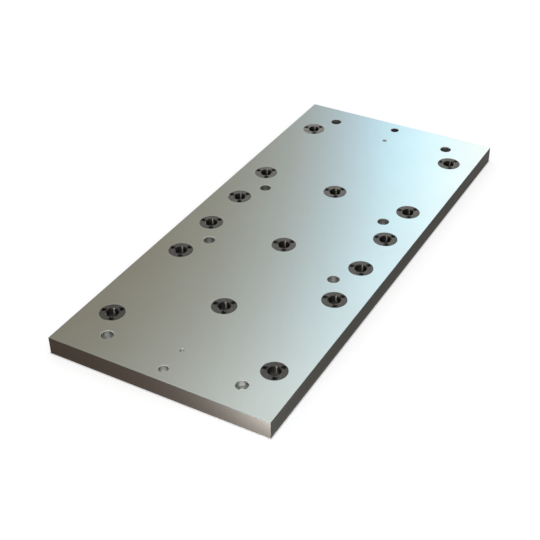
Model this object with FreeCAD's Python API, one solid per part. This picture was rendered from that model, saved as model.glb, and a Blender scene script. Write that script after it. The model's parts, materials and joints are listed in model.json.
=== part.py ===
import FreeCAD, Part
import math
import os

# A machine subplate: a thick aluminium plate that is bolted to a machining centre's table
# and stays there. Fixture plates drop onto it and lock into its receiver bushings, which
# sit flush in stepped pockets, each held down by three socket head screws.
# Frame: +X along the plate, +Y across it, +Z up, origin at the middle of the underside.
# Lengths are in millimetres; the plate and its hole grid are laid out in inches.
INCH = 25.4

# The plate
plate_length = 36.0 * INCH
plate_width = 16.0 * INCH
plate_thickness = 1.25 * INCH
plate_edge_break = 0.8

# Where the bushings sit: two outer rows of six and a middle row of three
outer_row_margin = 2.0 * INCH
end_column_margin = 4.0 * INCH
column_pitch = 4.0 * INCH

# Receiver bushing
receiver_bore = 20.0
mouth_lead_in = 1.5
straight_bore_length = 11.0
lock_flank_rise = 2.5
lock_flank_depth = 2.0
relief_wall = 1.5
bushing_length = 1.0 * INCH
bushing_foot_chamfer = 0.6
flange_thickness = 0.3125 * INCH

# Screws that hold a bushing down
screws_per_bushing = 3
first_screw_angle = 90.0
screw_thread_diameter = 4.83
screw_length = 0.5 * INCH
screw_head_diameter = 7.92
screw_head_height = 4.83
screw_socket_across_flats = 3.97
screw_socket_depth = 2.3

# How the pieces fit together, as clearances all round unless said otherwise
body_clearance = 0.02
flange_clearance = 0.1
flange_below_top = 0.1
head_clearance = 0.4
head_below_flange = 0.25
shank_clearance = 0.25
thread_clearance = 0.02
tapped_hole_spare_depth = 3.0

# Thinnest metal left beside the screws: in the plate, and round a recess at the flange's rim
tapped_hole_web = 1.05
recess_rim_wall = 0.335

# Bolts down to the table: counterbored holes over its T-slots
table_slot_pitch = 125.0
table_bolt_end_margin = 2.0 * INCH
table_bolt_inner_offset = 4.0 * INCH
table_bolt_hole = 0.53125 * INCH
table_bolt_counterbore = 0.8125 * INCH
table_bolt_counterbore_depth = 0.55 * INCH

# Holes on the centreline: locating pins near the ends, lifting eyes beside them
locating_end_margin = 1.0 * INCH
locating_hole = 0.625 * INCH
lifting_end_margin = 3.0 * INCH
lifting_tap_drill = 0.3125 * INCH
hole_mouth_chamfer = 0.8

# Diameters that follow from the sizes above, from the bushing's bore outwards
relief_diameter = receiver_bore + 2 * lock_flank_depth
bushing_body_diameter = relief_diameter + 2 * relief_wall
body_hole_diameter = bushing_body_diameter + 2 * body_clearance
tapped_hole_diameter = screw_thread_diameter + 2 * thread_clearance
recess_diameter = screw_head_diameter + 2 * head_clearance
screw_circle_diameter = body_hole_diameter + 2 * tapped_hole_web + tapped_hole_diameter
flange_diameter = screw_circle_diameter + recess_diameter + 2 * recess_rim_wall

# Heights that follow from the sizes above
flange_top = plate_thickness - flange_below_top
pocket_floor = flange_top - flange_thickness
bushing_bottom = flange_top - bushing_length
head_top = flange_top - head_below_flange
head_seat = head_top - screw_head_height
screw_tip = head_seat - screw_length

UP = FreeCAD.Vector(0, 0, 1)


def cylinder(diameter, bottom, top, x=0.0, y=0.0):
    """A plain round bar standing on its end."""
    return Part.makeCylinder(diameter / 2, top - bottom, FreeCAD.Vector(x, y, bottom), UP)


def revolved(profile):
    """A solid turned about the Z axis from (radius, height) corners."""
    corners = [FreeCAD.Vector(radius, 0, height) for radius, height in profile]
    outline = Part.makePolygon(corners + corners[:1])
    return Part.Face(outline).revolve(FreeCAD.Vector(0, 0, 0), UP, 360)


def moved(shape, x, y):
    """A copy of a shape carried across to x, y."""
    copy = shape.copy()
    copy.translate(FreeCAD.Vector(x, y, 0))
    return copy


def bushing_sites():
    """Each bushing's name and centre, row by row, numbered from the -X end."""
    row_y = plate_width / 2 - outer_row_margin
    end_x = plate_length / 2 - end_column_margin
    inner = [half * column_pitch / 2 for half in (-3, -1, 1, 3)]
    outer_row = [-end_x] + inner + [end_x]
    middle_row = [half * column_pitch / 2 for half in (-5, -1, 3)]
    rows = {"rear": (row_y, outer_row), "middle": (0.0, middle_row), "front": (-row_y, outer_row)}
    sites = []
    for row, (y, columns) in rows.items():
        sites += [(f"{row}_{number}", x, y) for number, x in enumerate(columns, 1)]
    return sites


def screw_places():
    """Centres of one bushing's screws, about the bushing's own axis."""
    radius = screw_circle_diameter / 2
    places = []
    for index in range(screws_per_bushing):
        angle = math.radians(first_screw_angle + index * 360.0 / screws_per_bushing)
        places.append((radius * math.cos(angle), radius * math.sin(angle)))
    return places


def table_bolt_places():
    """Centres of the bolt holes, one table slot either side of the middle."""
    far_x = plate_length / 2 - table_bolt_end_margin
    columns = (-far_x, -table_bolt_inner_offset, table_bolt_inner_offset, far_x)
    return [(x, y) for x in columns for y in (-table_slot_pitch, table_slot_pitch)]


def receiver_bushing():
    """A flanged bushing: lead-in, straight bore, and a flank that the locking balls pull up against."""
    bore_radius = receiver_bore / 2
    relief_radius = relief_diameter / 2
    body_radius = bushing_body_diameter / 2
    flange_radius = flange_diameter / 2
    bore_top = flange_top - mouth_lead_in
    bore_bottom = bore_top - straight_bore_length
    body = revolved([
        (bore_radius + mouth_lead_in, flange_top),
        (bore_radius, bore_top),
        (bore_radius, bore_bottom),
        (relief_radius, bore_bottom - lock_flank_rise),
        (relief_radius, bushing_bottom),
        (body_radius - bushing_foot_chamfer, bushing_bottom),
        (body_radius, bushing_bottom + bushing_foot_chamfer),
        (body_radius, pocket_floor),
        (flange_radius, pocket_floor),
        (flange_radius, flange_top),
    ])
    cuts = []
    for x, y in screw_places():
        cuts.append(cylinder(recess_diameter, head_seat, plate_thickness, x, y))
        cuts.append(cylinder(screw_thread_diameter + 2 * shank_clearance, bushing_bottom, head_seat, x, y))
    return body.cut(cuts)


def hexagonal_socket():
    """The hexagonal hole in a screw head, as the solid to take out of it."""
    corner_radius = screw_socket_across_flats / 2 / math.cos(math.radians(30))
    floor = head_top - screw_socket_depth
    corners = []
    for index in range(6):
        angle = math.radians(60 * index)
        x = corner_radius * math.cos(angle)
        y = corner_radius * math.sin(angle)
        corners.append(FreeCAD.Vector(x, y, floor))
    outline = Part.makePolygon(corners + corners[:1])
    return Part.Face(outline).extrude(UP * screw_socket_depth)


def bushing_screw():
    """A socket head cap screw on the Z axis, head down in its recess."""
    head_radius = screw_head_diameter / 2
    thread_radius = screw_thread_diameter / 2
    turned = revolved([
        (0.0, head_top),
        (head_radius, head_top),
        (head_radius, head_seat),
        (thread_radius, head_seat),
        (thread_radius, screw_tip),
        (0.0, screw_tip),
    ])
    return turned.cut(hexagonal_socket())


def screw_set():
    """The screws of one bushing, as separate solids."""
    screw = bushing_screw()
    return Part.makeCompound([moved(screw, x, y) for x, y in screw_places()])


def bushing_pocket():
    """What is cut from the plate for one bushing: flange seat, through bore and blind tapped holes."""
    cuts = [
        cylinder(flange_diameter + 2 * flange_clearance, pocket_floor, plate_thickness),
        cylinder(body_hole_diameter, 0, pocket_floor),
    ]
    hole_bottom = screw_tip - tapped_hole_spare_depth
    for x, y in screw_places():
        cuts.append(cylinder(tapped_hole_diameter, hole_bottom, pocket_floor, x, y))
    return cuts


def chamfered_hole(diameter, bottom, x, y):
    """A round hole from a given depth up to the plate's top, with a chamfer at its mouth."""
    radius = diameter / 2
    cut = revolved([
        (0.0, bottom),
        (radius, bottom),
        (radius, plate_thickness - hole_mouth_chamfer),
        (radius + hole_mouth_chamfer, plate_thickness),
        (0.0, plate_thickness),
    ])
    return moved(cut, x, y)


def table_bolt_hole_cuts(x, y):
    """A through hole with a counterbore that hides the bolt's head."""
    shoulder = plate_thickness - table_bolt_counterbore_depth
    return [
        cylinder(table_bolt_hole, 0, shoulder, x, y),
        chamfered_hole(table_bolt_counterbore, shoulder, x, y),
    ]


def centreline_hole_cuts():
    """Locating and lifting holes, in pairs on the plate's long centreline."""
    locating_x = plate_length / 2 - locating_end_margin
    lifting_x = plate_length / 2 - lifting_end_margin
    cuts = []
    for side in (-1, 1):
        cuts.append(chamfered_hole(locating_hole, 0, side * locating_x, 0))
        cuts.append(chamfered_hole(lifting_tap_drill, 0, side * lifting_x, 0))
    return cuts


def subplate_body():
    """The plate with broken edges and every pocket and hole cut."""
    corner = FreeCAD.Vector(-plate_length / 2, -plate_width / 2, 0)
    block = Part.makeBox(plate_length, plate_width, plate_thickness, corner)
    block = block.makeChamfer(plate_edge_break, block.Edges)
    pocket = bushing_pocket()
    cuts = centreline_hole_cuts()
    for _, x, y in bushing_sites():
        cuts += [moved(cut, x, y) for cut in pocket]
    for x, y in table_bolt_places():
        cuts += table_bolt_hole_cuts(x, y)
    return block.cut(cuts)


def build():
    """Every node's shape by name."""
    bushing = receiver_bushing()
    screws = screw_set()
    nodes = {"subplate_body": subplate_body()}
    for name, x, y in bushing_sites():
        nodes[f"receiver_bushing_{name}"] = moved(bushing, x, y)
        nodes[f"bushing_screws_{name}"] = moved(screws, x, y)
    return nodes


os.makedirs("parts", exist_ok=True)
for node, shape in build().items():
    shape.exportStep(f"parts/{node}.step")
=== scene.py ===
import json
import logging
import math
from collections.abc import Callable, Iterable, Sequence
from dataclasses import dataclass
from enum import Enum, IntEnum
from itertools import product

import bmesh
import bpy
from bpy.types import Material, Mesh, Node, NodeTree, Object
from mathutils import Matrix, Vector


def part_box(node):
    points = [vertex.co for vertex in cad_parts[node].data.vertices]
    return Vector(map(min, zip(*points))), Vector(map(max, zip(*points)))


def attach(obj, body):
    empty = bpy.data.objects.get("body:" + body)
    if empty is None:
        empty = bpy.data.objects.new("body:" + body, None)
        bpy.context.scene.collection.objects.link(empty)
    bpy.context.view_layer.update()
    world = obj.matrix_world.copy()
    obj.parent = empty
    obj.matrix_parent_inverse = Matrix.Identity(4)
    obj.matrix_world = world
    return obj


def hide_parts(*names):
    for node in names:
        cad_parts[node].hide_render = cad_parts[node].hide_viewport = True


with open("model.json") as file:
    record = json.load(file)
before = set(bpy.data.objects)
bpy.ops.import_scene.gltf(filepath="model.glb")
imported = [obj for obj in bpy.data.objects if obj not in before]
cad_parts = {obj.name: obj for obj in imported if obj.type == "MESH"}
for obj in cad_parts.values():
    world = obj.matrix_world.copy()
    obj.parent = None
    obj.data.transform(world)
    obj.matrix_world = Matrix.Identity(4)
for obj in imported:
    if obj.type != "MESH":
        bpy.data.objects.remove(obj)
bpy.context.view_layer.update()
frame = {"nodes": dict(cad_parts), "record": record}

log = logging.getLogger("subplate")

MM = 0.001
INCH = 25.4 * MM
ROOT = "root"
OWN_PLACE = "own_place"
LAY = "lay"
HEXAGON = 6
ORIGIN = (0.0, 0.0)

Triple = tuple[float, float, float]
Colour = Triple
Loop = list[bmesh.types.BMVert]
Socket = bpy.types.NodeSocket
Sockets = dict[str, Socket]
Inputs = dict[str | int, object]


class PlateSkin(IntEnum):
    """Which finish a face of the plate has, in the order of its material slots."""

    MILLED = 0
    ROLLED_SIDE_PAINTED_SHADE = 1
    SAWN_END_PAINTED_SHADE = 2
    BORED = 3
    BRIGHT_EDGE = 4
    BROKEN_EDGE_PAINTED_SHADE = 5
    REAMED = 6


class SteelSkin(IntEnum):
    """Which finish a face of a bushing has, in the order of its material slots."""

    TURNED = 0
    HONED = 1
    RIM = 2


class Ray(Enum):
    """The kinds of ray that see the plain white background."""

    CAMERA = "Is Camera Ray"
    GLOSSY = "Is Glossy Ray"
    TRANSMISSION = "Is Transmission Ray"


@dataclass(frozen=True)
class Site:
    """Where one bushing stands and its flange's radius, read from the frame, in metres."""

    name: str
    x: float
    y: float
    top: float
    bottom: float
    flange: float

    @property
    def centre(self) -> tuple[float, float]:
        """The axis's place along X and Y."""
        return (self.x, self.y)


@dataclass(frozen=True)
class Hole:
    """A plain hole in the plate, in metres.

    A threaded hole has a pitch above 0, and a counterbored one a shoulder below its mouth.
    """

    x: float
    y: float
    radius: float
    counterbore: float = 0.0
    depth: float = 0.0
    pitch: float = 0.0


# Meshes


def on_circle(radius: float, angle: float, centre: Sequence[float] = ORIGIN) -> tuple[float, float]:
    """The point at an angle on a level circle."""
    return (centre[0] + radius * math.cos(angle), centre[1] + radius * math.sin(angle))


def add_object(name: str, data: bpy.types.ID) -> Object:
    """Make an object and link it to the scene."""
    made = bpy.data.objects.new(name, data)
    bpy.context.scene.collection.objects.link(made)
    return made


class MeshDraft:
    """A mesh that is put together from loops, the walls between them and flat faces.

    A round wall has this many sides unless its piece says otherwise. The lay is the map's corners
    on each side of a wall, and faces that meet at more than the sharp angle keep a sharp edge.
    """

    SIDES = 96
    WALL_LAY = ((0.0, 0.0), (0.0, 1.0), (1.0, 1.0), (1.0, 0.0))
    SHARP_ANGLE = math.radians(32.0)

    def __init__(self) -> None:
        """Start with nothing but the map that says which way the tool marks lie."""
        self.mesh = bmesh.new()
        self.lay = self.mesh.loops.layers.uv.new(LAY)

    def loop(self, points: Iterable[Sequence[float]]) -> Loop:
        """Make one vertex for each point and return them in order."""
        return [self.mesh.verts.new(point) for point in points]

    def circle(self, radius: float, height: float, centre: Sequence[float] = ORIGIN,
               count: int = SIDES) -> Loop:
        """Make a level circle of vertices.

        Args:
            radius: The circle's radius.
            height: Its place along Z.
            centre: Its place along X and Y.
            count: How many vertices it has.

        Returns:
            The vertices, anticlockwise from above.
        """
        angles = [2 * math.pi * i / count for i in range(count)]
        return self.loop((*on_circle(radius, angle, centre), height) for angle in angles)

    def wall(self, lower: Loop, upper: Loop, skin: int = 0) -> None:
        """Join two loops of the same length with four-sided faces."""
        count = len(lower)
        for i in range(count):
            j = (i + 1) % count
            face = self.mesh.faces.new((lower[i], lower[j], upper[j], upper[i]))
            face.material_index = skin
            face.smooth = True
            for corner, place in zip(face.loops, self.WALL_LAY):
                corner[self.lay].uv = place

    def turned(self, profile: Sequence[tuple[float, float, int]],
               centre: Sequence[float] = ORIGIN, count: int = SIDES) -> list[Loop]:
        """Turn a profile about an upright axis.

        Args:
            profile: Radius, height and the skin of the wall that leads to the next corner.
            centre: The axis's place along X and Y.
            count: How many vertices go round.

        Returns:
            The loop of each corner of the profile.
        """
        loops = [self.circle(radius, height, centre, count) for radius, height, _ in profile]
        for (_, _, skin), near, far in zip(profile, loops, loops[1:]):
            self.wall(near, far, skin)
        return loops

    def tube(self, profile: Sequence[tuple[float, float]], skin: int = 0,
             centre: Sequence[float] = ORIGIN, count: int = SIDES) -> list[Loop]:
        """Turn a profile of radius and height whose walls all have one skin."""
        return self.turned([(*corner, skin) for corner in profile], centre, count)

    def flat(self, loops: Sequence[Loop], skin: int = 0) -> None:
        """Fill the level area between an outer loop and any loops inside it."""
        edges = []
        for loop in loops:
            for near, far in zip(loop, loop[1:] + loop[:1]):
                edges.append(self.mesh.edges.get((near, far)) or self.mesh.edges.new((near, far)))
        filled = bmesh.ops.triangle_fill(self.mesh, edges=edges, use_beauty=True)
        for item in filled["geom"]:
            if isinstance(item, bmesh.types.BMFace):
                item.material_index = skin
                item.smooth = False
                for corner in item.loops:
                    corner[self.lay].uv = corner.vert.co.xy

    def done(self, name: str, skins: Iterable[Material]) -> Object:
        """Close the draft and link it to the scene as an object.

        Args:
            name: The object's and the mesh's name.
            skins: The materials in the order of their slots.

        Returns:
            The new object, at the origin.
        """
        bmesh.ops.recalc_face_normals(self.mesh, faces=self.mesh.faces)
        data = bpy.data.meshes.new(name)
        self.mesh.to_mesh(data)
        self.mesh.free()
        rounded = [face.use_smooth for face in data.polygons]
        data.set_sharp_from_angle(angle=self.SHARP_ANGLE)
        data.polygons.foreach_set("use_smooth", rounded)
        for skin in skins:
            data.materials.append(skin)
        return add_object(name, data)


def note_own_place(data: Mesh, x: float, y: float, top: float) -> None:
    """Keep each vertex's place about its piece's own axis and top, for the lathe rings."""
    attribute = data.attributes.new(OWN_PLACE, "FLOAT_VECTOR", "POINT")
    origin = Vector((x, y, top))
    for vertex, item in zip(data.vertices, attribute.data):
        item.vector = vertex.co - origin


# A groove's flanks reach full depth after 1 / GROOVE_FLANK of its half width, and a thread fades in
# and out over RUNOUT pitches at its ends.
GROOVE_FLANK = 1.25
RUNOUT = 0.8


def thread_radius(core: float, depth: float, turns: float, fade: float) -> float:
    """Radius of a helical thread's surface, whose groove is flat where its flanks reach full depth.

    Args:
        core: The radius at the crest side.
        depth: How deep the groove goes, negative where it goes inwards.
        turns: How many pitches the point lies along the helix.
        fade: From 0, no groove, to 1, full groove.

    Returns:
        The radius there.
    """
    groove = 1.0 - abs(2.0 * (turns % 1.0) - 1.0)
    return core + depth * fade * min(1.0, GROOVE_FLANK * groove)


def threaded_wall(draft: MeshDraft, centre: Sequence[float], core: float, depth: float, pitch: float,
                  bottom: float, top: float, count: int, rows_per_pitch: int,
                  skin: int) -> tuple[Loop, Loop]:
    """Build the wall of a threaded hole or shank, with a runout at each end.

    Args:
        draft: The mesh that it goes into.
        centre: The axis's place along X and Y.
        core: Radius at the crests of a hole, or at the outside of a shank.
        depth: Groove depth, negative on a shank.
        pitch: Distance from one turn to the next.
        bottom: Where the wall starts along Z.
        top: Where it ends.
        count: How many vertices go round.
        rows_per_pitch: How many rows each turn has.
        skin: The wall's material slot.

    Returns:
        The lowest and the highest loop.
    """
    rows = max(2, round((top - bottom) / pitch * rows_per_pitch))
    loops = []
    for row in range(rows + 1):
        height = bottom + (top - bottom) * row / rows
        fade = min(1.0, min(height - bottom, top - height) / (RUNOUT * pitch))
        points = []
        for i in range(count):
            radius = thread_radius(core, depth, (height - bottom) / pitch - i / count, fade)
            points.append((*on_circle(radius, 2 * math.pi * i / count, centre), height))
        loops.append(draft.loop(points))
    for lower, upper in zip(loops, loops[1:]):
        draft.wall(lower, upper, skin)
    return loops[0], loops[-1]


# Shader groups


@dataclass(frozen=True)
class NoiseKind:
    """How fine a noise is, and which part of its range becomes 0 to 1."""

    detail: float
    roughness: float
    low: float
    high: float
    distortion: float = 0.0


STREAKS = NoiseKind(3.0, 0.65, 0.25, 0.75)
CLOUDS = NoiseKind(2.0, 0.5, 0.3, 0.7)
TOOL_MARKS = NoiseKind(4.0, 0.7, 0.25, 0.75)
SCRATCHES = NoiseKind(1.0, 0.5, 0.74, 0.80)
WIPES = NoiseKind(4.0, 0.6, 0.35, 0.65, 0.8)
SCRATCH_WAYS = ((0.35, (120.0, 1.2, 1.0)), (-0.9, (1.0, 100.0, 1.0)))


class NodeSheet:
    """A node tree while it is being written."""

    def __init__(self, tree: NodeTree) -> None:
        """Keep the tree that nodes are added to."""
        self.tree = tree

    def feed(self, node: Node, inputs: Inputs) -> Node:
        """Give a node its inputs.

        Args:
            node: The node.
            inputs: Values to set or sockets to link, by the input's name or number.

        Returns:
            The same node.
        """
        for key, value in inputs.items():
            if isinstance(value, Socket):
                self.tree.links.new(value, node.inputs[key])
            else:
                node.inputs[key].default_value = value
        return node

    def node(self, kind: str, inputs: Inputs | None = None, **settings: object) -> Node:
        """Add a node.

        Args:
            kind: The node's type name.
            inputs: Values or sockets for its inputs, by name or number.
            settings: The node's own properties.

        Returns:
            The new node.
        """
        made = self.tree.nodes.new(kind)
        for key, value in settings.items():
            setattr(made, key, value)
        return self.feed(made, inputs or {})

    def sum(self, operation: str, *values: object) -> Socket:
        """Add a Math node and return its result."""
        return self.node("ShaderNodeMath", dict(enumerate(values)), operation=operation).outputs[0]

    def times(self, first: Socket, second: float | Socket) -> Socket:
        """Multiply two values."""
        return self.sum("MULTIPLY", first, second)

    def place(self) -> Socket:
        """The place in the object's own coordinates, in metres."""
        return self.node("ShaderNodeTexCoord").outputs["Object"]

    def vector(self, operation: str, *values: object) -> Node:
        """Add a Vector Math node."""
        return self.node("ShaderNodeVectorMath", dict(enumerate(values)), operation=operation)

    def spread(self, value: Socket, low: float, high: float, to_low: float = 0.0,
               to_high: float | Socket = 1.0) -> Socket:
        """Stretch a value from one range to another, held inside it."""
        inputs = {"Value": value, "From Min": low, "From Max": high, "To Min": to_low,
                  "To Max": to_high}
        return self.node("ShaderNodeMapRange", inputs).outputs["Result"]

    def blend(self, share: object, first: object, second: object) -> Socket:
        """Mix two colours and return the result. The sockets share names, so they go by number."""
        colours = {0: share, 6: first, 7: second}
        return self.node("ShaderNodeMix", colours, data_type="RGBA").outputs[2]

    def noise(self, kind: NoiseKind, place: Socket, scale: Socket) -> Socket:
        """Add a Noise Texture of a kind and return its value from 0 to 1."""
        inputs = {"Vector": place, "Scale": scale, "Detail": kind.detail, "Roughness": kind.roughness,
                  "Distortion": kind.distortion}
        return self.spread(self.node("ShaderNodeTexNoise", inputs).outputs["Fac"], kind.low, kind.high)

    def group(self, group: NodeTree, inputs: Inputs) -> bpy.types.bpy_prop_collection:
        """Place a node group with its own values and return its outputs."""
        return self.node("ShaderNodeGroup", inputs, node_tree=group).outputs


def blank_sheet(owner: Material | bpy.types.World) -> NodeSheet:
    """Clear the nodes that a material or world starts with, and return its sheet."""
    owner.use_nodes = True
    owner.node_tree.nodes.clear()
    return NodeSheet(owner.node_tree)


def shader_group(name: str, inputs: dict[str, object], outputs: Sequence[str],
                 write: Callable[[NodeSheet, Sockets], Sockets]) -> NodeTree:
    """Build a shader node group.

    Args:
        name: The group's name.
        inputs: Each input's name and default, where a tuple makes it a vector.
        outputs: The names of its number outputs.
        write: Adds the nodes and returns the socket for each output.

    Returns:
        The finished group.
    """
    tree = bpy.data.node_groups.new(name, "ShaderNodeTree")
    for key, value in inputs.items():
        kind = "NodeSocketVector" if isinstance(value, tuple) else "NodeSocketFloat"
        tree.interface.new_socket(key, in_out="INPUT", socket_type=kind).default_value = value
    for key in outputs:
        tree.interface.new_socket(key, in_out="OUTPUT", socket_type="NodeSocketFloat")
    sheet = NodeSheet(tree)
    source = sheet.node("NodeGroupInput")
    target = sheet.node("NodeGroupOutput")
    made = write(sheet, {key: source.outputs[key] for key in inputs})
    sheet.feed(target, {key: made[key] for key in outputs})
    return tree


def write_grain(sheet: NodeSheet, given: Sockets) -> Sockets:
    """Fine streaks drawn out along one direction, with a slow cloudiness under them."""
    drawn_out = sheet.vector("MULTIPLY", given["Place"], given["Stretch"]).outputs[0]
    return {"Height": sheet.noise(STREAKS, drawn_out, given["Scale"]),
            "Cloud": sheet.noise(CLOUDS, given["Place"], given["Cloud Scale"])}


def write_rings(sheet: NodeSheet, given: Sockets) -> Sockets:
    """Concentric tool marks about the piece's own axis."""
    apart = sheet.node("ShaderNodeSeparateXYZ", {0: given["Place"]}).outputs
    across = sheet.node("ShaderNodeCombineXYZ", {0: apart[0], 1: apart[1]}).outputs[0]
    along = sheet.sum("ADD", sheet.vector("LENGTH", across).outputs["Value"], apart[2])
    line = sheet.node("ShaderNodeCombineXYZ", {0: along}).outputs[0]
    return {"Height": sheet.noise(TOOL_MARKS, line, given["Scale"])}


def write_scuffs(sheet: NodeSheet, given: Sockets) -> Sockets:
    """Thin short scratches in two directions and soft wiped patches."""
    lines = []
    for turn, stretch in SCRATCH_WAYS:
        mapped = sheet.node("ShaderNodeMapping", {"Vector": given["Place"],
                                                  "Rotation": (0.0, 0.0, turn), "Scale": stretch})
        lines.append(sheet.noise(SCRATCHES, mapped.outputs[0], given["Scale"]))
    return {"Scratch": sheet.sum("MAXIMUM", *lines),
            "Wiped": sheet.noise(WIPES, given["Place"], given["Wipe Scale"])}


class Effects:
    """The shader groups that several finishes share, each built once."""

    def __init__(self) -> None:
        """Build the groups."""
        place = (0.0, 0.0, 0.0)
        self.grain = shader_group(
            "metal_grain",
            {"Place": place, "Stretch": (1.0, 1.0, 1.0), "Scale": 1.0, "Cloud Scale": 1.0},
            ("Height", "Cloud"), write_grain)
        self.rings = shader_group(
            "lathe_rings", {"Place": place, "Scale": 1.0}, ("Height",), write_rings)
        self.scuffs = shader_group(
            "light_scuffs", {"Place": place, "Scale": 1.0, "Wipe Scale": 1.0},
            ("Scratch", "Wiped"), write_scuffs)


# Finishes


def shade(colour: Colour, factor: float) -> tuple[float, float, float, float]:
    """A colour made lighter or darker, with full opacity."""
    return (colour[0] * factor, colour[1] * factor, colour[2] * factor, 1.0)


def new_finish(name: str, colour: Colour) -> tuple[Material, NodeSheet, Node]:
    """Start a material.

    Args:
        name: The material's name.
        colour: Its plain colour, for the viewport.

    Returns:
        The material, its node sheet and its metal shader.
    """
    material = bpy.data.materials.new(name)
    material.diffuse_color = (*colour, 1.0)
    sheet = blank_sheet(material)
    metal = sheet.node("ShaderNodeBsdfPrincipled", {"Metallic": 1.0})
    sheet.node("ShaderNodeOutputMaterial", {0: metal.outputs[0]})
    return material, sheet, metal


def dress(sheet: NodeSheet, metal: Node, colour: Socket, rough: Socket, height: Socket,
          depth: float) -> None:
    """Give a metal its colour, roughness and tool marks.

    Args:
        sheet: The material's sheet.
        metal: Its metal shader.
        colour: The colour over the surface.
        rough: The roughness over the surface.
        height: The tool marks, from 0 to 1.
        depth: How deep the marks are, in metres.
    """
    bump = sheet.node("ShaderNodeBump", {"Height": height, "Strength": 1.0, "Distance": depth})
    sheet.feed(metal, {"Base Color": colour, "Roughness": rough, "Normal": bump.outputs[0]})


def follow_lay(sheet: NodeSheet, metal: Node, anisotropy: float) -> None:
    """Draw a bored wall's reflections out along its axis, across the tool marks."""
    if anisotropy:
        tangent = sheet.node("ShaderNodeTangent", direction_type="UV_MAP", uv_map=LAY)
        sheet.feed(metal, {"Tangent": tangent.outputs[0], "Anisotropic": anisotropy})


@dataclass(frozen=True)
class AluminiumFinish:
    """Bare aluminium with directional grain, scuffs and a slow variation of tone."""

    name: str
    colour: Colour
    roughness: float
    grain_scale: float
    grain_stretch: Triple
    grain_depth: float
    tone_spread: float
    scuff_share: float
    anisotropy: float = 0.0
    # Below 1, this dims the reflection at grazing angles: painted shade.
    grazing_painted_shade: float = 1.0
    roughness_spread: float = 0.012
    cloud_scale: float = 14.0
    cloud_share: float = 0.25
    cloud_tone: float = 0.94
    scuff_scale: float = 26.0
    wipe_scale: float = 9.0
    scratch_tone: float = 1.25

    def material(self, effects: Effects) -> Material:
        """Build the material from its object's own coordinates."""
        material, sheet, metal = new_finish(self.name, self.colour)
        metal.inputs["Specular Tint"].default_value = shade((1.0, 1.0, 1.0), self.grazing_painted_shade)
        place = sheet.place()
        grain = sheet.group(effects.grain, {"Place": place, "Stretch": self.grain_stretch,
                                            "Scale": self.grain_scale, "Cloud Scale": self.cloud_scale})
        scuffs = sheet.group(effects.scuffs, {"Place": place, "Scale": self.scuff_scale,
                                              "Wipe Scale": self.wipe_scale})
        tone = sheet.blend(grain["Height"], shade(self.colour, 1.0 - self.tone_spread),
                           shade(self.colour, 1.0 + self.tone_spread))
        clouded = sheet.blend(sheet.times(grain["Cloud"], self.cloud_share), tone,
                              shade(self.colour, self.cloud_tone))
        scratched = sheet.blend(sheet.times(scuffs["Scratch"], self.scuff_share), clouded,
                                shade(self.colour, self.scratch_tone))
        rough = sheet.spread(grain["Cloud"], 0.0, 1.0, self.roughness - self.roughness_spread,
                             self.roughness + self.roughness_spread)
        dress(sheet, metal, scratched, rough, grain["Height"], self.grain_depth)
        follow_lay(sheet, metal, self.anisotropy)
        return material


@dataclass(frozen=True)
class LatheSteelFinish:
    """Black-oxided steel with lathe rings, and bright metal where the black has rubbed off."""

    name: str
    black: Colour
    bare: Colour
    roughness: float
    ring_scale: float
    ring_depth: float
    rubbed: float
    anisotropy: float = 0.0
    roughness_spread: float = 0.03
    ring_tones: tuple[float, float] = (0.88, 1.14)
    scuff_scale: float = 90.0
    wipe_scale: float = 160.0

    def material(self, effects: Effects) -> Material:
        """Build the material from the place about the piece's own axis."""
        material, sheet, metal = new_finish(self.name, self.black)
        place = sheet.node("ShaderNodeAttribute", attribute_name=OWN_PLACE).outputs["Vector"]
        spot = sheet.place()
        rings = sheet.group(effects.rings, {"Place": place, "Scale": self.ring_scale})["Height"]
        scuffs = sheet.group(effects.scuffs, {"Place": spot, "Scale": self.scuff_scale,
                                              "Wipe Scale": self.wipe_scale})
        worn = sheet.times(scuffs["Wiped"], self.rubbed)
        tone = sheet.blend(rings, *(shade(self.black, factor) for factor in self.ring_tones))
        colour = sheet.blend(worn, tone, (*self.bare, 1.0))
        rough = sheet.spread(rings, 0.0, 1.0, self.roughness - self.roughness_spread,
                             self.roughness + self.roughness_spread)
        dress(sheet, metal, colour, rough, rings, self.ring_depth)
        follow_lay(sheet, metal, self.anisotropy)
        return material


ALONG_X = (0.25, 1.0, 1.0)
LEVEL = (1.0, 1.0, 0.06)
UPRIGHT = (0.15, 0.15, 1.0)
EVEN = (1.0, 1.0, 1.0)
MILLED_FACE = AluminiumFinish("aluminium_milled_face", (0.66, 0.675, 0.665), 0.30, 900.0, ALONG_X,
                              0.002 * MM, 0.025, 0.5)
# The rolled sides are the same aluminium as the top; their dark colour and dimmed grazing reflection
# are painted shade.
ROLLED_SIDE_PAINTED_SHADE = AluminiumFinish("aluminium_rolled_side_painted_shade", (0.085, 0.079, 0.070), 0.40, 700.0, LEVEL,
                              0.02 * MM, 0.10, 0.3, grazing_painted_shade=0.5)
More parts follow.
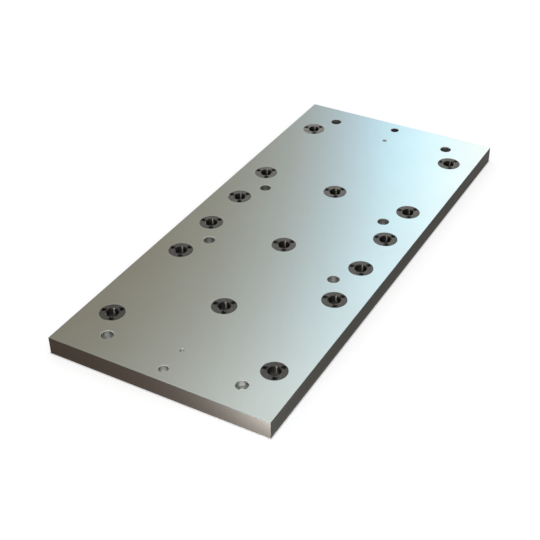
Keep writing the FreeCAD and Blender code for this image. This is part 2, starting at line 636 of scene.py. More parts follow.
# The sawn ends' dark colour is painted shade, not a darker metal.
SAWN_END_PAINTED_SHADE = AluminiumFinish("aluminium_sawn_end_painted_shade", (0.069, 0.050, 0.038), 0.62, 700.0, LEVEL,
                           0.04 * MM, 0.12, 0.3, grazing_painted_shade=0.5)
BORED_WALL = AluminiumFinish("aluminium_bored_wall", (0.56, 0.565, 0.55), 0.22, 800.0, UPRIGHT,
                             0.01 * MM, 0.06, 0.0, anisotropy=0.80)
REAMED_WALL = AluminiumFinish("aluminium_reamed_wall", (0.50, 0.50, 0.48), 0.24, 900.0, UPRIGHT,
                              0.005 * MM, 0.05, 0.0, anisotropy=0.80)
BRIGHT_EDGE = AluminiumFinish("aluminium_bright_edge", (0.75, 0.755, 0.735), 0.45, 900.0, EVEN,
                              0.002 * MM, 0.03, 0.2)
# The rounded edges' dark colour is painted shade, which keeps them from catching a highlight.
BROKEN_EDGE_PAINTED_SHADE = AluminiumFinish("aluminium_broken_edge_painted_shade", (0.10, 0.094, 0.085), 0.60, 700.0, EVEN,
                              0.01 * MM, 0.10, 0.2)
PLATE_FINISHES = (MILLED_FACE, ROLLED_SIDE_PAINTED_SHADE, SAWN_END_PAINTED_SHADE, BORED_WALL, BRIGHT_EDGE, BROKEN_EDGE_PAINTED_SHADE, REAMED_WALL)
TURNED_STEEL = LatheSteelFinish("steel_turned_face", (0.055, 0.052, 0.047), (0.26, 0.25, 0.23), 0.72,
                                2600.0, 0.01 * MM, 0.12)
# The bore's black is black oxide, made darker than the flange's as painted shade inside the bore and
# screw recesses.
HONED_STEEL = LatheSteelFinish("steel_honed_bore", (0.028, 0.026, 0.023), (0.30, 0.29, 0.28), 0.38,
                               3000.0, 0.002 * MM, 0.05, anisotropy=1.0)
RIM_STEEL = LatheSteelFinish("steel_rim", (0.045, 0.042, 0.040), (0.25, 0.24, 0.23), 0.42,
                             2600.0, 0.004 * MM, 0.12)
SCREW_STEEL = LatheSteelFinish("steel_black_screw", (0.030, 0.029, 0.030), (0.20, 0.20, 0.19), 0.42,
                               3200.0, 0.006 * MM, 0.10)
BUSHING_FINISHES = (TURNED_STEEL, HONED_STEEL, RIM_STEEL)


# Pieces


def own(piece: Object, node: str) -> None:
    """Hand a finished piece to the frame as the dressed form of one node."""
    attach(piece, ROOT)
    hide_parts(node)
    log.info("%s: %d faces", piece.name, len(piece.data.polygons))


@dataclass(frozen=True)
class BushingShape:
    """A receiver bushing's sizes, in metres, as the frame has them, and its round walls' sides."""

    bore: float = 10.0 * MM
    lead_in: float = 1.5 * MM
    straight: float = 11.0 * MM
    flank_rise: float = 2.5 * MM
    relief: float = 12.0 * MM
    body: float = 13.5 * MM
    foot: float = 0.6 * MM
    flange_depth: float = 7.9375 * MM
    rim_break: float = 0.35 * MM
    mouth_break: float = 0.25 * MM
    lip_round: float = 0.15 * MM
    lip_run: float = 0.3 * MM
    recess_sides: int = 48
    hole_sides: int = 32

    @property
    def recess_floor(self) -> float:
        """How far the screw recess's floor lies below the flange's top."""
        return SCREW.sunk + SCREW.head_height


@dataclass(frozen=True)
class ScrewShape:
    """A bushing screw's sizes and place, in metres."""

    circle: float = 17.005 * MM
    count: int = 3
    first_angle: float = math.radians(90.0)
    head: float = 3.96 * MM
    head_height: float = 4.83 * MM
    sunk: float = 0.25 * MM
    recess: float = 4.36 * MM
    shank: float = 2.415 * MM
    shank_hole: float = 2.665 * MM
    length: float = 12.7 * MM
    pitch: float = INCH / 24
    thread_depth: float = 0.45 * MM
    thread_rows: int = 4
    tip_narrowing: float = 0.5 * MM
    crown: tuple[tuple[float, float], ...] = (
        (0.45 * MM, 0.0), (0.12 * MM, -0.16 * MM), (0.0, -0.5 * MM))
    seat_break: float = 0.15 * MM
    socket: float = 3.97 / 2 * MM
    socket_depth: float = 2.3 * MM
    socket_break: float = 0.12 * MM
    socket_point: float = 0.4 * MM
    tapped_hole: float = 2.435 * MM
    tapped_spare: float = 3.0 * MM

    def places(self) -> list[tuple[float, float]]:
        """Each screw's place about its bushing's axis."""
        angles = [self.first_angle + 2 * math.pi * i / self.count for i in range(self.count)]
        return [on_circle(self.circle, angle) for angle in angles]


SCREW = ScrewShape()
BUSHING = BushingShape()


@dataclass
class ReceiverBushing:
    """One flanged receiver bushing."""

    site: Site
    shape: BushingShape

    def build(self, skins: Sequence[Material]) -> Object:
        """Make the bushing's mesh and give it its finishes.

        Args:
            skins: The materials in the order of SteelSkin.

        Returns:
            The finished piece.
        """
        draft = MeshDraft()
        shape, top, centre, flange = self.shape, self.site.top, self.site.centre, self.site.flange
        seat = top - shape.flange_depth
        bore_top = top - shape.lead_in
        bore_bottom = bore_top - shape.straight
        inner = draft.turned([
            (shape.bore + shape.lead_in, top, SteelSkin.HONED),
            (shape.bore + shape.lip_round, bore_top + shape.lip_round, SteelSkin.HONED),
            (shape.bore, bore_top - shape.lip_run, SteelSkin.HONED),
            (shape.bore, bore_bottom, SteelSkin.HONED),
            (shape.relief, bore_bottom - shape.flank_rise, SteelSkin.TURNED),
            (shape.relief, self.site.bottom, SteelSkin.TURNED),
        ], centre)
        outer = draft.turned([
            (flange - shape.rim_break, top, SteelSkin.RIM),
            (flange, top - shape.rim_break, SteelSkin.TURNED),
            (flange, seat, SteelSkin.TURNED),
        ], centre)
        body = draft.turned([
            (shape.body, seat, SteelSkin.TURNED),
            (shape.body, self.site.bottom + shape.foot, SteelSkin.RIM),
            (shape.body - shape.foot, self.site.bottom, SteelSkin.TURNED),
        ], centre)
        mouths, holes = self.recesses(draft)
        draft.flat([outer[0], inner[0], *mouths], SteelSkin.TURNED)
        draft.flat([outer[-1], body[0], *holes], SteelSkin.TURNED)
        draft.flat([body[-1], inner[-1]], SteelSkin.TURNED)
        piece = draft.done(f"bushing_{self.site.name}", skins)
        note_own_place(piece.data, self.site.x, self.site.y, top)
        return piece

    def recesses(self, draft: MeshDraft) -> tuple[list[Loop], list[Loop]]:
        """Cut the screw recesses and the clearance holes under them.

        Args:
            draft: The bushing's mesh.

        Returns:
            The loops where they open in the flange's top and in its underside.
        """
        mouths, holes = [], []
        top = self.site.top
        floor = top - self.shape.recess_floor
        seat = top - self.shape.flange_depth
        for x, y in SCREW.places():
            centre = (self.site.x + x, self.site.y + y)
            wide = draft.tube([
                (SCREW.recess + self.shape.mouth_break, top),
                (SCREW.recess, top - self.shape.mouth_break),
                (SCREW.recess, floor),
            ], SteelSkin.HONED, centre, self.shape.recess_sides)
            narrow = draft.tube([(SCREW.shank_hole, floor), (SCREW.shank_hole, seat)],
                                SteelSkin.HONED, centre, self.shape.hole_sides)
            draft.flat([wide[-1], narrow[0]], SteelSkin.HONED)
            mouths.append(wide[0])
            holes.append(narrow[-1])
        return mouths, holes


@dataclass
class ScrewPattern:
    """The socket head screws of the bushings, each set placed by one geometry tree."""

    shape: ScrewShape
    round_count: int = 24

    def master(self, skin: Material) -> Object:
        """Make one screw with its head's top at the origin, pointing down."""
        draft = MeshDraft()
        shape = self.shape
        seat = -shape.head_height
        head = draft.tube([
            *((shape.head - inset, height) for inset, height in shape.crown),
            (shape.head, seat + shape.seat_break),
            (shape.head - shape.seat_break, seat),
        ], count=2 * self.round_count)
        corner = shape.socket / math.cos(math.pi / HEXAGON)
        mouth = draft.circle(corner + shape.socket_break, 0.0, count=HEXAGON)
        lip = draft.circle(corner, -shape.socket_break, count=HEXAGON)
        floor = draft.circle(corner, -shape.socket_depth, count=HEXAGON)
        draft.wall(mouth, lip)
        draft.wall(lip, floor)
        point = draft.loop([(0.0, 0.0, -shape.socket_depth - shape.socket_point)])[0]
        for near, far in zip(floor, floor[1:] + floor[:1]):
            draft.mesh.faces.new((near, far, point))
        tip = seat - shape.length
        low, high = threaded_wall(
            draft, ORIGIN, shape.shank, -shape.thread_depth, shape.pitch,
            tip + shape.tip_narrowing, seat, self.round_count, shape.thread_rows, 0)
        end = draft.circle(shape.shank - shape.tip_narrowing, tip, count=self.round_count)
        draft.wall(end, low)
        draft.flat([head[0], mouth])
        draft.flat([head[-1], high])
        draft.flat([end])
        screw = draft.done("screw_master", [skin])
        note_own_place(screw.data, 0.0, 0.0, 0.0)
        return screw

    def tree(self, screw: Object, skin: Material) -> NodeTree:
        """Write the tree that sets screws out on a circle.

        Args:
            screw: The screw that is repeated.
            skin: The finish that every screw gets.

        Returns:
            The tree, with inputs for the circle's place and size and the number of screws.
        """
        tree = bpy.data.node_groups.new("screws_on_a_circle", "GeometryNodeTree")
        for key, kind in (("Geometry", "Geometry"), ("Centre", "Vector"), ("Circle Radius", "Float"),
                          ("First Angle", "Float"), ("Count", "Int"), ("Seed", "Int")):
            tree.interface.new_socket(key, in_out="INPUT", socket_type=f"NodeSocket{kind}")
        tree.interface.new_socket("Geometry", in_out="OUTPUT", socket_type="NodeSocketGeometry")
        sheet = NodeSheet(tree)
        given = sheet.node("NodeGroupInput").outputs
        ring = sheet.node("GeometryNodeMeshCircle",
                          {"Vertices": given["Count"], "Radius": given["Circle Radius"]})
        turned = sheet.node("ShaderNodeCombineXYZ", {"Z": given["First Angle"]})
        placed = sheet.node("GeometryNodeTransform", {"Geometry": ring.outputs[0],
                                                      "Translation": given["Centre"],
                                                      "Rotation": turned.outputs[0]})
        # Input 3 is the largest angle: a hexagon looks the same after a sixth of a turn.
        wrench = sheet.node("FunctionNodeRandomValue",
                            {3: 2 * math.pi / HEXAGON, "Seed": given["Seed"]}, data_type="FLOAT")
        spin = sheet.node("ShaderNodeCombineXYZ", {"Z": wrench.outputs[1]})
        source = sheet.node("GeometryNodeObjectInfo", {"Object": screw})
        set_out = sheet.node("GeometryNodeInstanceOnPoints", {"Points": placed.outputs[0],
                                                              "Instance": source.outputs["Geometry"],
                                                              "Rotation": spin.outputs[0]})
        real = sheet.node("GeometryNodeRealizeInstances", {"Geometry": set_out.outputs[0]})
        dressed = sheet.node("GeometryNodeSetMaterial", {"Geometry": real.outputs[0], "Material": skin})
        sheet.node("NodeGroupOutput", {"Geometry": dressed.outputs[0]})
        return tree

    def build(self, site: Site, tree: NodeTree, seed: int) -> Object:
        """Place one bushing's screws and turn them into a plain mesh.

        Args:
            site: The bushing that they hold.
            tree: The tree that sets them out.
            seed: Fixes which way each hexagon points.

        Returns:
            The finished piece, with no modifier left.
        """
        name = f"screws_{site.name}"
        carrier = add_object(f"{name}_carrier", bpy.data.meshes.new(f"{name}_carrier"))
        modifier = carrier.modifiers.new("set_out", "NODES")
        modifier.node_group = tree
        values = {
            "Centre": (site.x, site.y, site.top - self.shape.sunk),
            "Circle Radius": self.shape.circle,
            "First Angle": self.shape.first_angle,
            "Count": self.shape.count,
            "Seed": seed,
        }
        for item in tree.interface.items_tree:
            if item.in_out == "INPUT" and item.name in values:
                modifier[item.identifier] = values[item.name]
        bpy.context.view_layer.update()
        graph = bpy.context.evaluated_depsgraph_get()
        data = bpy.data.meshes.new_from_object(carrier.evaluated_get(graph), depsgraph=graph)
        data.name = name
        carrier.modifiers.remove(modifier)
        bpy.data.objects.remove(carrier)
        return add_object(name, data)


@dataclass
class Plate:
    """The aluminium plate with its bushing pockets and plain holes.

    Sizes are in metres, but for the thread's depth, which is a share of its pitch.
    """

    sites: Sequence[Site]
    holes: Sequence[Hole]
    edge_round: float = 0.45 * MM
    corner_round: float = 1.0 * MM
    pocket_gap: float = 0.1 * MM
    body_gap: float = 0.02 * MM
    pocket_edge: float = 0.2 * MM
    mouth_chamfer: float = 0.8 * MM
    foot_edge: float = 0.3 * MM
    least_round: float = 0.3 * MM
    thread_depth: float = 0.62 * math.cos(math.pi / 6)
    thread_margin: float = 0.2 * MM
    thread_rows: int = 6
    hole_sides: int = 64
    tap_sides: int = 24
    steps: int = 4

    def __post_init__(self) -> None:
        """Read the plate's outside from the frame."""
        low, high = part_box("subplate_body")
        self.half = ((high.x - low.x) / 2, (high.y - low.y) / 2)
        self.top = high.z
        self.bottom = low.z

    def outline(self, draft: MeshDraft, inset: float, height: float) -> Loop:
        """Make the loop round the plate's outside, drawn in by an inset."""
        radius = max(self.corner_round - inset, self.least_round)
        points = []
        for quarter, (side_x, side_y) in enumerate(((1, 1), (-1, 1), (-1, -1), (1, -1))):
            centre = (side_x * (self.half[0] - inset - radius),
                      side_y * (self.half[1] - inset - radius))
            for step in range(self.steps + 1):
                angle = math.pi / 2 * (quarter + step / self.steps)
                points.append((*on_circle(radius, angle, centre), height))
        return draft.loop(points)

    def sides(self, draft: MeshDraft) -> tuple[Loop, Loop]:
        """Build the four sides with their rounded edges.

        Args:
            draft: The plate's mesh.

        Returns:
            The loops that bound the underside and the top.
        """
        corners = []
        for step in range(self.steps + 1):
            turn = math.pi / 2 * step / self.steps
            corners.append((self.edge_round * (1 - math.sin(turn)),
                            self.edge_round * (1 - math.cos(turn))))
        loops = [self.outline(draft, inset, self.bottom + rise) for inset, rise in corners]
        loops += [self.outline(draft, inset, self.top - rise) for inset, rise in reversed(corners)]
        for index, (lower, upper) in enumerate(zip(loops, loops[1:])):
            skin = PlateSkin.ROLLED_SIDE_PAINTED_SHADE if index == self.steps else PlateSkin.BROKEN_EDGE_PAINTED_SHADE
            draft.wall(lower, upper, skin)
        return loops[0], loops[-1]

    def mark_ends(self, data: Mesh) -> None:
        """Give the two short ends the finish of the saw that cut the plate to length, whose dark colour
        is painted shade.
        """
        for face in data.polygons:
            if face.material_index == PlateSkin.ROLLED_SIDE_PAINTED_SHADE and abs(face.normal.x) > abs(face.normal.y):
                face.material_index = PlateSkin.SAWN_END_PAINTED_SHADE

    def pocket(self, draft: MeshDraft, site: Site) -> tuple[Loop, Loop]:
        """Cut one bushing's stepped pocket with its tapped holes.

        Args:
            draft: The plate's mesh.
            site: The bushing that sits in it.

        Returns:
            The loops where it opens in the underside and in the top.
        """
        seat = site.flange + self.pocket_gap
        floor = site.top - BUSHING.flange_depth
        body = BUSHING.body + self.body_gap
        upper = draft.turned([
            (seat + self.pocket_edge, self.top, PlateSkin.BRIGHT_EDGE),
            (seat, self.top - self.pocket_edge, PlateSkin.BORED),
            (seat, floor, PlateSkin.BORED),
        ], site.centre)
        lower = draft.turned([
            (body, floor, PlateSkin.BORED),
            (body, self.bottom + self.foot_edge, PlateSkin.BRIGHT_EDGE),
            (body + self.foot_edge, self.bottom, PlateSkin.BORED),
        ], site.centre)
        taps = []
        tip = site.top - SCREW.sunk - SCREW.head_height - SCREW.length - SCREW.tapped_spare
        for x, y in SCREW.places():
            tap = draft.tube([(SCREW.tapped_hole, floor), (SCREW.tapped_hole, tip)],
                             PlateSkin.BORED, (site.x + x, site.y + y), self.tap_sides)
            draft.flat([tap[-1]], PlateSkin.BORED)
            taps.append(tap[0])
        draft.flat([upper[-1], lower[0], *taps], PlateSkin.BORED)
        return lower[-1], upper[0]

    def plain_hole(self, draft: MeshDraft, hole: Hole) -> tuple[Loop, Loop]:
        """Cut one plain, counterbored or tapped hole.

        Args:
            draft: The plate's mesh.
            hole: Its place and sizes.

        Returns:
            The loops where it opens in the underside and in the top.
        """
        centre = (hole.x, hole.y)
        mouth_radius = hole.counterbore or hole.radius
        shoulder = self.top - hole.depth if hole.counterbore else self.top - self.mouth_chamfer
        mouth = draft.tube([
            (mouth_radius + self.mouth_chamfer, self.top),
            (mouth_radius, self.top - self.mouth_chamfer),
        ], PlateSkin.BRIGHT_EDGE, centre, self.hole_sides)
        foot = draft.tube([
            (hole.radius + self.foot_edge, self.bottom),
            (hole.radius, self.bottom + self.foot_edge),
        ], PlateSkin.BRIGHT_EDGE, centre, self.hole_sides)
        if hole.pitch:
            low, high = threaded_wall(
                draft, centre, hole.radius, self.thread_depth * hole.pitch, hole.pitch,
                self.bottom + self.foot_edge + self.thread_margin, shoulder - self.thread_margin,
                self.hole_sides, self.thread_rows, PlateSkin.BORED)
            draft.wall(foot[-1], low, PlateSkin.BORED)
            draft.wall(high, mouth[-1], PlateSkin.BORED)
        elif hole.counterbore:
            step = draft.circle(mouth_radius, shoulder, centre, self.hole_sides)
            inner = draft.circle(hole.radius, shoulder, centre, self.hole_sides)
            draft.wall(step, mouth[-1], PlateSkin.BORED)
            draft.flat([step, inner], PlateSkin.BORED)
            draft.wall(foot[-1], inner, PlateSkin.BORED)
        else:
            draft.wall(foot[-1], mouth[-1], PlateSkin.REAMED)
        return foot[0], mouth[0]

    def build(self, skins: Sequence[Material]) -> Object:
        """Make the plate's mesh and give it its finishes.

        Args:
            skins: The materials in the order of PlateSkin.

        Returns:
            The finished piece.
        """
        draft = MeshDraft()
        low, high = self.sides(draft)
        below, above = [low], [high]
        for site in self.sites:
            foot, mouth = self.pocket(draft, site)
            below.append(foot)
            above.append(mouth)
        for hole in self.holes:
            foot, mouth = self.plain_hole(draft, hole)
            below.append(foot)
            above.append(mouth)
        draft.flat(below, PlateSkin.MILLED)
        draft.flat(above, PlateSkin.MILLED)
        piece = draft.done("plate", skins)
        self.mark_ends(piece.data)
        return piece


# Reading the frame


# The frame's mounts don't state these.
COUNTERBORE_RADIUS = 0.8125 * INCH / 2
COUNTERBORE_DEPTH = 0.55 * INCH
LIFTING_PITCH = INCH / 16


def bushing_sites() -> list[Site]:
    """Every bushing's place, from the frame's own boxes."""
    prefix = "receiver_bushing_"
    sites = []
    for node in sorted(name for name in frame["nodes"] if name.startswith(prefix)):
        low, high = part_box(node)
        x, y = (low.x + high.x) / 2, (low.y + high.y) / 2
        sites.append(Site(node.removeprefix(prefix), x, y, high.z, low.z, high.x - x))
    return sites


def plain_holes() -> list[Hole]:
    """Every hole that takes no bushing, from the frame's mounts."""
    holes = []
    for mount in frame["record"]["mounts"]:
        sizes = mount["dims"]
        x, y, _ = mount["pos_m"]
        if mount["kind"] == "bolt_pattern":
            reach_x, reach_y = (sizes[f"spacing_{axis}_mm"] / 2 * MM for axis in "xy")
            for side_x, side_y in product((-1, 1), repeat=2):
                holes.append(Hole(x + side_x * reach_x, y + side_y * reach_y, sizes["hole_r_mm"] * MM,
                                  COUNTERBORE_RADIUS, COUNTERBORE_DEPTH))
        elif mount["kind"] == "threaded_hole":
            holes.append(Hole(x, y, sizes["r_mm"] * MM, pitch=LIFTING_PITCH))
        elif mount["name"].startswith("locating_hole"):
            holes.append(Hole(x, y, sizes["r_mm"] * MM))
    return holes


# The studio


@dataclass(frozen=True)
class LightPanel:
    """A tall graded light behind the plate, which only reflections see.

    As seen from the plate, the stops go from its dim warm left end to its bright cool right one,
    and lines of equal light bend away from the waist. A soft warm patch lies high up near the
    middle. The ramp holds a share of each stop, because its colours stay under 1, and the
    strength makes up for it. The light is weaker near the panel's foot.
    """

    bearing: float = math.radians(28.0)
    distance: float = 2.2
    width: float = 9.0
    height: float = 7.0
    waist: float = 1.2
    bend: float = 0.23
    foot_heights: tuple[float, float] = (0.45, 0.95)
    strengths: tuple[float, float] = (1.2, 2.2)
    ramp_share: float = 0.5
    warm_place: tuple[float, float] = (0.15, 3.0)
    warm_reach: float = 0.7
    warm_tint: Colour = (1.5, 1.2, 1.0)
    stops: tuple[tuple[float, Colour], ...] = (
        (-0.95, (0.21, 0.17, 0.11)),
        (-0.50, (0.26, 0.23, 0.16)),
        (-0.17, (0.36, 0.34, 0.27)),
        (0.07, (0.50, 0.52, 0.47)),
        (0.28, (0.67, 0.84, 1.00)),
        (0.45, (0.83, 1.50, 1.75)),
        (0.75, (1.58, 1.57, 1.50)),
        (1.05, (1.36, 1.37, 1.34)),
        (1.45, (0.70, 0.71, 0.70)),
    )

    def build(self) -> Object:
        """Stand the panel up and light it."""
        ahead = Vector((math.cos(self.bearing), math.sin(self.bearing), 0.0))
        left = Vector((-ahead.y, ahead.x, 0.0))
        foot = ahead * self.distance
        corners = []
        for side, lift in ((-0.5, 0.0), (0.5, 0.0), (0.5, 1.0), (-0.5, 1.0)):
            corners.append(foot + left * side * self.width + Vector((0.0, 0.0, lift * self.height)))
        data = bpy.data.meshes.new("light_panel")
        data.from_pydata([list(c) for c in corners], [], [(0, 1, 2, 3)])
        data.materials.append(self.material(foot, left))
        panel = add_object("light_panel", data)
        for kind in ("camera", "diffuse", "transmission", "volume_scatter", "shadow"):
            setattr(panel, f"visible_{kind}", False)
        return panel

    def gradient(self, sheet: NodeSheet, place: Socket, height: Socket, left: Vector) -> Socket:
        """Grade the light from the dim warm end to the bright cool one.

        Args:
            sheet: The panel's sheet.
            place: The place on the panel.
            height: Its height over the floor.
            left: Which way is left along the panel, seen from the plate.

        Returns:
            The colour there.
        """
        sideways = sheet.vector("DOT_PRODUCT", place, -left).outputs["Value"]
        away = sheet.sum("SUBTRACT", height, self.waist)
        curve = sheet.times(sheet.times(away, away), self.bend)
        low, high = self.stops[0][0], self.stops[-1][0]
        ramp = sheet.node("ShaderNodeValToRGB",
                          {0: sheet.spread(sheet.sum("ADD", sideways, curve), low, high)})
        elements = ramp.color_ramp.elements
        while len(elements) < len(self.stops):
            elements.new(1.0)
        for element, (stop, colour) in zip(elements, self.stops):
            element.position = (stop - low) / (high - low)
            element.color = shade(colour, self.ramp_share)
        return ramp.outputs[0]

    def material(self, foot: Vector, left: Vector) -> Material:
        """Make the panel's light.

        Args:
            foot: The middle of the panel's lower edge.
            left: Which way is left along the panel, seen from the plate.

        Returns:
            The glowing material.
        """
        material = bpy.data.materials.new("light_panel")
        sheet = blank_sheet(material)
        place = sheet.place()
        height = sheet.node("ShaderNodeSeparateXYZ", {0: place}).outputs[2]
        graded = self.gradient(sheet, place, height, left)
        middle = foot + left * self.warm_place[0] + Vector((0.0, 0.0, self.warm_place[1]))
        apart = sheet.vector("DISTANCE", place, middle).outputs["Value"]
        near = sheet.spread(apart, 0.0, self.warm_reach, 1.0, 0.0)
        warmth = sheet.blend(near, (1.0, 1.0, 1.0, 1.0), (*self.warm_tint, 1.0))
        colour = sheet.vector("MULTIPLY", graded, warmth).outputs[0]
        strength = sheet.spread(height, *self.foot_heights, *self.strengths)
        glow = sheet.node("ShaderNodeEmission", {"Color": colour, "Strength": strength})
        sheet.node("ShaderNodeOutputMaterial", {0: glow.outputs[0]})
        return material


@dataclass(frozen=True)
class Lamp:
    """A soft rectangular light, which the camera doesn't see."""

    name: str
    place: Triple
    size: tuple[float, float]
    power: float
    aim: Triple = (0.0, 0.0, 0.0)
    colour: Colour = (1.0, 1.0, 1.0)

    def hang(self, lit: Iterable[Object] = ()) -> Object:
        """Hang the lamp, facing its aim.

        Args:
            lit: The only pieces that it lights. Without any, it lights everything.

        Returns:
            The lamp.
        """
        data = bpy.data.lights.new(self.name, "AREA")
        data.shape = "RECTANGLE"
        data.size, data.size_y = self.size
        data.energy = self.power
        data.color = self.colour
        lamp = add_object(self.name, data)
        lamp.location = self.place
        facing = Vector(self.aim) - Vector(self.place)
        lamp.rotation_euler = facing.to_track_quat("-Z", "Y").to_euler()
        lamp.visible_camera = False
        if lit:
            lamp.light_linking.receiver_collection = bpy.data.collections.new(f"lit_by_{self.name}")
            for piece in lit:
                lamp.light_linking.receiver_collection.objects.link(piece)
        return lamp


STRIP_LIGHT = Lamp("strip_light", (-2.1, 0.05, 1.3), (0.5, 1.4), 90.0)
RIM_LIGHT = Lamp("rim_light", (1.12, 0.44, 0.55), (0.5, 0.5), 13.0, (0.35, 0.05, 0.03))
FRONT_SOFTBOX = Lamp("front_softbox", (-1.9, -0.9, 1.3), (2.0, 1.4), 3.8)
CORNER_LIGHT = Lamp("corner_light", (-0.66, -0.25, 0.017), (0.12, 0.028), 7.6, (-0.457, -0.2, 0.016),
                    (0.64, 0.84, 1.0))


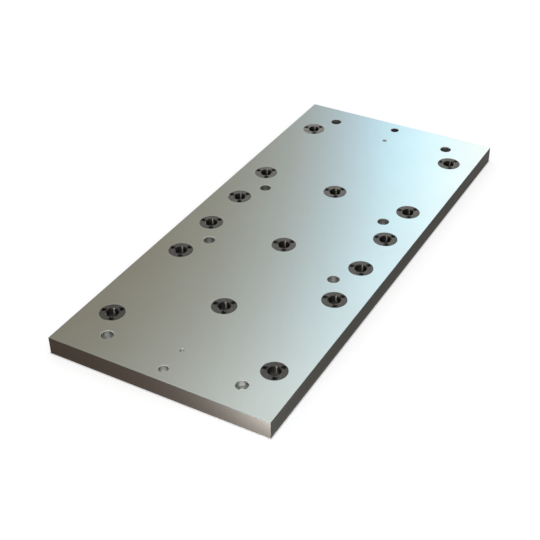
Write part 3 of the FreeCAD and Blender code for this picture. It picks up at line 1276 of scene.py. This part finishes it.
@dataclass(frozen=True)
class Studio:
    """A plain white floor and backdrop, soft lights and the camera."""

    floor_size: float = 24.0
    floor_colour: Colour = (0.80, 0.80, 0.80)
    floor_lift: float = 0.66
    floor_rise: float = 0.02 * MM
    shade_start: float = 2 * MM
    shade_reach: float = 3 * MM
    under_holes: tuple[float, float] = (2.1, 0.08)
    under_reach: float = 1.0
    ambient: float = 0.45
    ceiling: tuple[float, float] = (0.60, 0.30)
    ceiling_side: tuple[float, float] = (-0.5, 0.3)
    ceiling_start: tuple[float, float] = (0.28, 0.76)
    focal_length: float = 71.52
    sensor_width: float = 36.0
    far_clip: float = 50.0
    azimuth: float = math.radians(-61.571)
    elevation: float = math.radians(35.874)
    distance: float = 1.8569
    target: tuple[float, float] = (-0.1047, -0.0545)
    shift: tuple[float, float] = (-0.0485, -0.0026)

    def seen(self, sheet: NodeSheet) -> Socket:
        """1 for the rays that see the plain background, and 0 for the others."""
        path = sheet.node("ShaderNodeLightPath")
        found = path.outputs[Ray.CAMERA.value]
        for kind in (Ray.GLOSSY, Ray.TRANSMISSION):
            found = sheet.sum("MAXIMUM", found, path.outputs[kind.value])
        return found

    def clear_of_plate(self, sheet: NodeSheet, place: Socket, half: Sequence[float]) -> Socket:
        """Tell the floor under the plate from the rest.

        Args:
            sheet: The floor's sheet.
            place: The place on the floor.
            half: Half the plate's length and width.

        Returns:
            0 under the plate, and 1 from just outside its edge.
        """
        apart = sheet.node("ShaderNodeSeparateXYZ", {0: place})
        clear = None
        for axis, edge in enumerate(half):
            # The glow fades in over a thin band round the plate's foot, a painted shadow line on the
            # floor.
            out = sheet.spread(sheet.sum("ABSOLUTE", apart.outputs[axis]), edge - self.shade_start,
                               edge + self.shade_reach)
            clear = out if clear is None else sheet.sum("MAXIMUM", clear, out)
        return clear

    def under_plate(self, sheet: NodeSheet, place: Socket, clear: Socket,
                    half: Sequence[float]) -> Socket:
        """Light the floor under the plate for reflections in the holes' walls.

        Args:
            sheet: The floor's sheet.
            place: The place on the floor.
            clear: What clear_of_plate returns.
            half: Half the plate's length and width.

        Returns:
            The strength, which is greatest at the plate's near corner.
        """
        glossy = sheet.node("ShaderNodeLightPath").outputs[Ray.GLOSSY.value]
        covered = sheet.sum("SUBTRACT", 1.0, clear)
        near_corner = (-half[0], -half[1], 0.0)
        away = sheet.vector("DISTANCE", place, near_corner).outputs["Value"]
        fade = sheet.spread(away, 0.0, self.under_reach, 1.0, 0.0)
        graded = sheet.sum("MULTIPLY_ADD", sheet.times(fade, fade), *self.under_holes)
        return sheet.times(sheet.times(glossy, covered), graded)

    def floor(self, half: Sequence[float]) -> Object:
        """Lay the floor, which glows a little round the plate, and under it for reflections alone.

        It lies a hair above the plate's underside, so that the underside doesn't mirror it.

        Args:
            half: Half the plate's length and width.

        Returns:
            The floor, which isn't part of the object.
        """
        reach = self.floor_size / 2
        corners = ((-reach, -reach), (reach, -reach), (reach, reach), (-reach, reach))
        data = bpy.data.meshes.new("floor")
        data.from_pydata([(x, y, self.floor_rise) for x, y in corners], [], [(0, 1, 2, 3)])
        floor = add_object("floor", data)
        material = bpy.data.materials.new("floor")
        sheet = blank_sheet(material)
        matt = sheet.node("ShaderNodeBsdfDiffuse", {"Color": (*self.floor_colour, 1.0)})
        place = sheet.place()
        clear = self.clear_of_plate(sheet, place, half)
        around = sheet.times(sheet.times(self.seen(sheet), clear), self.floor_lift)
        strength = sheet.sum("ADD", around, self.under_plate(sheet, place, clear, half))
        glow = sheet.node("ShaderNodeEmission", {"Strength": strength})
        both = sheet.node("ShaderNodeAddShader", {0: matt.outputs[0], 1: glow.outputs[0]})
        sheet.node("ShaderNodeOutputMaterial", {0: both.outputs[0]})
        data.materials.append(material)
        return floor

    def world(self) -> None:
        """Surround the scene with a white sweep that dims overhead, and softens for matt things."""
        world = bpy.data.worlds.new("white_room")
        bpy.context.scene.world = world
        sheet = blank_sheet(world)
        direction = sheet.node("ShaderNodeTexCoord").outputs["Generated"]
        apart = sheet.node("ShaderNodeSeparateXYZ", {0: direction})
        overhead = sheet.spread(apart.outputs[0], *self.ceiling_side, *self.ceiling)
        sweep = sheet.spread(apart.outputs[2], *self.ceiling_start, 1.0, overhead)
        lift = sheet.times(self.seen(sheet), sheet.sum("SUBTRACT", sweep, self.ambient))
        strength = sheet.sum("ADD", lift, self.ambient)
        back = sheet.node("ShaderNodeBackground", {"Color": (1.0, 1.0, 1.0, 1.0), "Strength": strength})
        sheet.node("ShaderNodeOutputWorld", {0: back.outputs[0]})

    def lights(self, plate: Object, bushings: Sequence[Object]) -> None:
        """Hang two lamps for the bushings alone, a softbox, and a low lamp for the plate's corner."""
        STRIP_LIGHT.hang(bushings)
        RIM_LIGHT.hang(bushings)
        FRONT_SOFTBOX.hang()
        CORNER_LIGHT.hang([plate])

    def camera(self, top: float) -> Object:
        """Set the camera up at the photograph's angle and framing."""
        data = bpy.data.cameras.new("camera")
        data.lens = self.focal_length
        data.sensor_width = self.sensor_width
        data.clip_end = self.far_clip
        data.shift_x, data.shift_y = self.shift
        camera = add_object("camera", data)
        back = Vector((math.sin(self.azimuth) * math.cos(self.elevation),
                       -math.cos(self.azimuth) * math.cos(self.elevation),
                       math.sin(self.elevation)))
        camera.location = Vector((*self.target, top)) + back * self.distance
        camera.rotation_mode = "QUATERNION"
        camera.rotation_quaternion = back.to_track_quat("Z", "Y")
        bpy.context.scene.camera = camera
        return camera


def main() -> None:
    """Build every piece, dress it, and set up the studio."""
    logging.basicConfig(level=logging.INFO, format="%(name)s %(message)s")
    sites = bushing_sites()
    effects = Effects()
    plate_skins = [finish.material(effects) for finish in PLATE_FINISHES]
    steel_skins = [finish.material(effects) for finish in BUSHING_FINISHES]
    screw_skin = SCREW_STEEL.material(effects)

    plate = Plate(sites, plain_holes())
    plate_piece = plate.build(plate_skins)
    own(plate_piece, "subplate_body")
    bushings = []
    for site in sites:
        bushings.append(ReceiverBushing(site, BUSHING).build(steel_skins))
        own(bushings[-1], f"receiver_bushing_{site.name}")

    screws = ScrewPattern(SCREW)
    master = screws.master(screw_skin)
    tree = screws.tree(master, screw_skin)
    for seed, site in enumerate(sites, 1):
        own(screws.build(site, tree, seed), f"bushing_screws_{site.name}")
    bpy.data.objects.remove(master)

    studio = Studio()
    studio.world()
    studio.floor(plate.half)
    studio.lights(plate_piece, bushings)
    LightPanel().build()
    studio.camera(plate.top)
    bpy.context.scene.view_settings.view_transform = "Standard"


if __name__ == "__main__":
    main()
